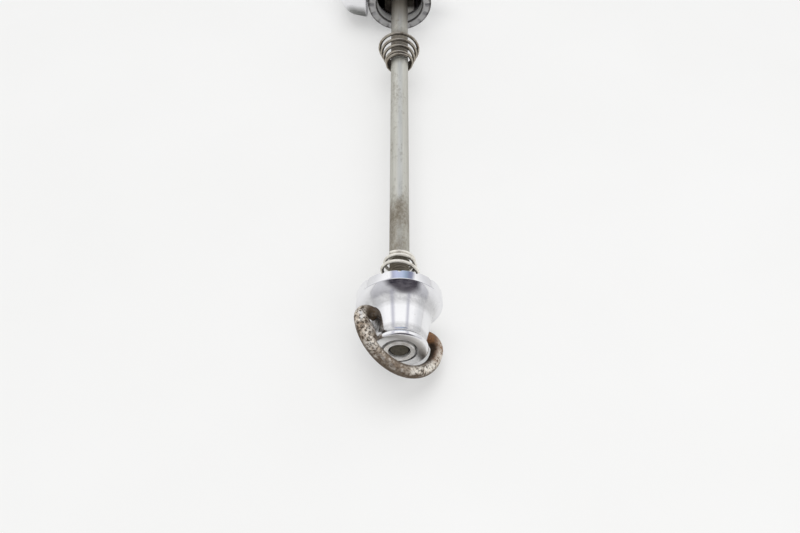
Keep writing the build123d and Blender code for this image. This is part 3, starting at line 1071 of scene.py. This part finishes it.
def spring_wire(name, light, dark, tarnished, metal, shade_eased_from=None):
    """Spring wire: brownish tarnish, painted shade on all but its outer crest, and perhaps an end where that
    shade is eased.
    """
    finish, tree, shader = new_finish(name)
    tarnish = mottle(tree, on_surface(tree), 1.6, 4.0, 0.6)
    drawn = mottle(tree, on_surface(tree), 0.2, 3.0)
    colour = shades(tree, drawn, (0.3, dark), (0.7, light))
    colour = over(tree, levels(tree, tarnish, 0.50, 0.66, 0.0, tarnished), colour, (0.20, 0.155, 0.11))
    # Painted shade on the coil's inner side and flanks, leaving the outer crest bright
    ragged = add(tree, facing_out(tree), levels(tree, tarnish, 0.3, 0.7, 0.2, -0.2))
    grimy_and_shaded = levels(tree, ragged, 0.45, -0.15, 0.0, 0.9)
    if shade_eased_from is not None:
        _, along, _ = place_parts(tree)
        grimy_and_shaded = times(tree, grimy_and_shaded, levels(tree, along, shade_eased_from, shade_eased_from + 0.8, 1.0, 0.3))
    colour = over(tree, grimy_and_shaded, colour, (0.05, 0.04, 0.03))
    lay_on(tree, shader, colour, levels(tree, grimy_and_shaded, 0, 1, 0.26, 0.6))
    tree.links.new(raised(tree, drawn, 0.12, 0.03), shader.inputs["Normal"])
    shader.inputs["Metallic"].default_value = metal
    return finish


def turned_steel(name, light, dark, gloss, metal=1.0):
    """Plain steel from the lathe: fine turning rings and a little grime."""
    finish, tree, shader = new_finish(name)
    grime_and_shade = mottle(tree, on_surface(tree), 1.2, 4.0, 0.6)
    rings = mottle(tree, on_surface(tree, (0.15, 1, 0.15)), 0.25, 2.0)
    steel = shades(tree, grime_and_shade, (0.32, dark), (0.62, light))
    lay_on(tree, shader, steel, levels(tree, grime_and_shade, 0.3, 0.7, gloss + 0.16, gloss))
    tree.links.new(raised(tree, rings, 0.15, 0.03), shader.inputs["Normal"])
    shader.inputs["Metallic"].default_value = metal
    return finish


def painted_light_on_yoke_face(finish):
    """Gives the yoke's dark steel a painted patch of light beside the rod."""
    tree, shader, colour, gloss = reopen(finish)
    side, _, up = place_parts(tree)
    painted_lit_patch = times(tree, levels(tree, side, 1.6, 2.6, 0.0, 1.0), levels(tree, up, -3.0, -4.6, 0.0, 1.0))
    lay_on(tree, shader, over(tree, painted_lit_patch, colour, (0.42, 0.41, 0.385)), gloss)
    tree.links.new(levels(tree, painted_lit_patch, 0, 1, 1.0, 0.4), shader.inputs["Metallic"])


def pale_table():
    """Off-white table top with the faintest clouding, its shadows lightened as on a lit table."""
    finish, tree, shader = new_finish("pale_table")
    cloud = mottle(tree, on_surface(tree), 60.0, 3.0)
    colour = shades(tree, cloud, (0.3, (0.895, 0.895, 0.888)), (0.7, (0.912, 0.912, 0.907)))
    tree.links.new(colour, shader.inputs["Base Color"])
    shader.inputs["Roughness"].default_value = 0.55
    shader.inputs["Specular IOR Level"].default_value = 0.1
    glow = tree.nodes.new("ShaderNodeEmission")
    tree.links.new(colour, glow.inputs["Color"])
    rays = tree.nodes.new("ShaderNodeLightPath")
    in_metal = larger(tree, rays.outputs["Is Glossy Ray"], rays.outputs["Is Transmission Ray"])
    far_off = levels(tree, distance_from(tree, (0, 0, table_level)), 250.0, 900.0, 0.40, 0.95)
    to_eye = times(tree, rays.outputs["Is Camera Ray"], far_off)
    seen = add(tree, to_eye, levels(tree, in_metal, 0, 1, 0, 0.05))
    lightened = tree.nodes.new("ShaderNodeMixShader")
    tree.links.new(seen, lightened.inputs["Fac"])
    tree.links.new(shader.outputs["BSDF"], lightened.inputs[1])
    tree.links.new(glow.outputs["Emission"], lightened.inputs[2])
    tree.links.new(lightened.outputs["Shader"], tree.nodes["Material Output"].inputs["Surface"])
    return finish


# Dressing

def dress(piece, finish, node, body):
    """Gives a piece its finish and puts it in the place of its solid."""
    piece.data.materials.clear()
    piece.data.materials.append(finish)
    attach(piece, body)
    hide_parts(node)


# The nut's and the housing's chrome carry painted shade in grooves, hollows and at edges, and a painted
# reflection on the nut's neck
nut_chrome = chrome_with_painted_shade(
    "nut_chrome_plate", 0.02, (1, 0.1, 1), (-73.5, -73.62), (0.80, 0.795, 0.79), 0.3,
    bush_groove_shade, lip_hollow_shade, neck_painted_shade, handle_reflection_on_neck,
)
bare_wall(nut_chrome, recess_radius, nut_back, -61.2, -61.4)
housing_chrome = chrome_with_painted_shade(
    "housing_chrome_plate", 0.02, (0.1, 1, 0.1), (58.95, 58.7), (0.42, 0.415, 0.41), 0.5,
    ring_rim_shade, cavity_mouth_shade,
)
bare_wall(housing_chrome, cavity_radius, housing_face, 60.8, 62.5)
lever_chrome = polished_chrome("lever_chrome_plate", 0.0, (1, 0.08, 1))
painted_head_underside_shade(lever_chrome)
cap_chrome = polished_chrome("cap_chrome_plate", 0.04, (0.2, 1, 1))
rod_steel = stained_rod_steel()
handle_wire = pitted_handle_wire()
nut_spring_finish = spring_wire(
    "bright_spring_wire", (0.94, 0.91, 0.84), (0.76, 0.73, 0.65), 0.45, 0.45, nut_spring_small_end - 2.2
)
lever_spring_finish = spring_wire("dull_spring_wire", (0.46, 0.425, 0.365), (0.33, 0.30, 0.25), 0.75, 1.0)
bush_steel = turned_steel("turned_bush_steel", (0.84, 0.83, 0.81), (0.62, 0.59, 0.55), 0.34, 0.5)
yoke_steel = turned_steel("greased_yoke_steel", (0.045, 0.04, 0.034), (0.016, 0.014, 0.011), 0.42)
painted_light_on_yoke_face(yoke_steel)
washer_steel = turned_steel("plated_washer_steel", (0.66, 0.65, 0.63), (0.48, 0.45, 0.41), 0.28)

dress(model_nut_shell(), nut_chrome, "nut_shell", "nut")
dress(model_nut_bush(), bush_steel, "nut_bush", "nut")
dress(model_nut_bail(), handle_wire, "nut_bail", "nut")
dress(model_skewer_rod(), rod_steel, "skewer_rod", "rod")
dress(
    model_spring("nut_spring_wire", nut_spring_small_end, -1, length=15.0, open_turns=3.25, growth=1.4),
    nut_spring_finish, "nut_spring", "nut_spring",
)
dress(
    model_spring("lever_spring_wire", lever_spring_small_end, 1, length=9.0, open_turns=3.6, growth=1.0),
    lever_spring_finish, "lever_spring", "rod",
)
dress(model_cam_housing(), housing_chrome, "cam_housing", "housing")
dress(model_cam_yoke(), yoke_steel, "cam_yoke", "rod")
dress(model_lever(), lever_chrome, "lever", "lever")
dress(model_lever_washer(), washer_steel, "lever_washer", "lever")
dress(model_cap_nut(), cap_chrome, "cap_nut", "lever")

# Table, light and camera

bpy.ops.object.select_all(action="DESELECT")
bpy.ops.mesh.primitive_plane_add(size=6.0, location=(0, 0, table_level * MM))
table = bpy.context.object
table.name = "table_top"
table.data.materials.append(pale_table())


def soft_lamp(name, place, aim, size, power):
    """A soft square lamp that looks at a place."""
    light = bpy.data.lights.new(name, "AREA")
    light.shape = "SQUARE"
    light.size = size
    light.energy = power
    lamp = bpy.data.objects.new(name, light)
    lamp.location = place
    lamp.rotation_euler = (Vector(aim) - Vector(place)).to_track_quat("-Z", "Y").to_euler()
    lamp.visible_glossy = False
    bpy.context.collection.objects.link(lamp)


soft_lamp("overhead_lamp", (-0.08, 0.14, 0.9), (0, -0.03, 0), size=0.8, power=3.7)
soft_lamp("front_lamp", (0.30, -0.45, 0.55), (0, 0, 0), size=0.5, power=1.3)


def studio_world():
    """A pale room, white to the eye: a dark card before the nut and lit panels above show in the metal."""
    room = bpy.data.worlds.new("pale_room")
    bpy.context.scene.world = room
    room.use_nodes = True
    tree = room.node_tree
    air = tree.nodes["Background"]
    air.inputs["Strength"].default_value = 1.0
    coords = tree.nodes.new("ShaderNodeTexCoord")
    ways = tree.nodes.new("ShaderNodeSeparateXYZ")
    tree.links.new(coords.outputs["Generated"], ways.inputs["Vector"])
    side, along, up = ways.outputs["X"], ways.outputs["Y"], ways.outputs["Z"]

    # Walls and ceiling, greyer low in front
    picture = shades(
        tree, up, (0.0, (0.80, 0.80, 0.80)), (0.3, (0.84, 0.845, 0.855)), (0.5, (0.98, 0.98, 0.985)),
        (0.62, (1.1, 1.1, 1.1)),
    )
    rise = work_out(tree, "ARCTAN2", up, times(tree, along, -1.0))
    low_front = times(
        tree, levels(tree, rise, 1.75, 1.1, 0.0, 0.85), levels(tree, along, 0.2, -0.2, 0.0, 1.0)
    )
    picture = over(tree, low_front, picture, (0.62, 0.62, 0.65))

    # A grey stripe on each side overhead
    slant = work_out(tree, "DIVIDE", side, larger(tree, up, 0.05))
    off_stripe = gap_to(tree, gap_to(tree, slant, 0.075), 0.5)
    stripe = times(
        tree, levels(tree, off_stripe, 0.20, 0.04, 0.0, 0.75), levels(tree, up, 0.72, 0.82, 0.0, 1.0)
    )
    picture = over(tree, stripe, picture, (0.54, 0.54, 0.62))

    # Blue panes behind
    behind = times(tree, levels(tree, along, 0.38, 0.52, 0.0, 0.9), levels(tree, up, 0.46, 0.58, 0.0, 1.0))
    blue = times(tree, levels(tree, gap_to(tree, side, 0.10), 0.44, 0.33, 0.0, 1.0), behind)
    panes = shades(
        tree, levels(tree, side, -0.3, 0.5, 0.0, 1.0),
        (0.0, (0.36, 0.37, 0.50)), (0.25, (0.56, 0.61, 0.84)), (0.5, (0.48, 0.57, 0.78)),
        (0.66, (0.27, 0.37, 0.52)), (0.8, (0.17, 0.20, 0.33)), (1.0, (0.26, 0.27, 0.37)),
    )
    picture = over(tree, blue, picture, panes)

    # The dark card in front, rounded at its top, lighter upwards and not quite even
    middle = levels(tree, rise, 0.0, 1.3, 0.08, 0.26)
    half_width = levels(tree, rise, 0.0, 0.5, 0.38, 0.56)
    aside = work_out(tree, "DIVIDE", work_out(tree, "SUBTRACT", side, middle), half_width)
    aloft = levels(tree, rise, 0.5, 1.6, 0.0, 1.25)
    edge = add(tree, times(tree, aside, aside), work_out(tree, "POWER", aloft, 2.0))
    card = times(tree, levels(tree, edge, 1.35, 0.55, 0.0, 1.0), levels(tree, along, 0.0, -0.12, 0.0, 1.0))
    card = times(tree, card, levels(tree, up, 0.0, 0.04, 0.0, 1.0))
    unevenness = mottle(tree, coords.outputs["Generated"], 160.0, 3.0)
    card_shade = add(
        tree, levels(tree, rise, 0.1, 1.1, 0.15, 0.7), levels(tree, unevenness, 0.35, 0.65, -0.25, 0.25)
    )
    card_colour = shades(tree, card_shade, (0.0, (0.035, 0.032, 0.042)), (1.0, (0.19, 0.175, 0.195)))
    picture = over(tree, card, picture, card_colour)

    rays = tree.nodes.new("ShaderNodeLightPath")
    seen = over(tree, rays.outputs["Is Camera Ray"], (0.55, 0.55, 0.55), (0.93, 0.93, 0.925))
    seen = over(tree, rays.outputs["Is Glossy Ray"], seen, picture)
    tree.links.new(seen, air.inputs["Color"])


studio_world()

camera_data = bpy.data.cameras.new("photo_camera")
camera_data.sensor_width = 36.0
camera_data.lens = 47.25
camera_data.clip_start = 0.005
camera = bpy.data.objects.new("photo_camera", camera_data)
camera.location = (0.00015, -0.21425, 0.195)
camera.rotation_euler = (math.radians(40.4), 0, 0)
bpy.context.collection.objects.link(camera)
bpy.context.scene.camera = camera
bpy.context.scene.view_settings.view_transform = "Standard"
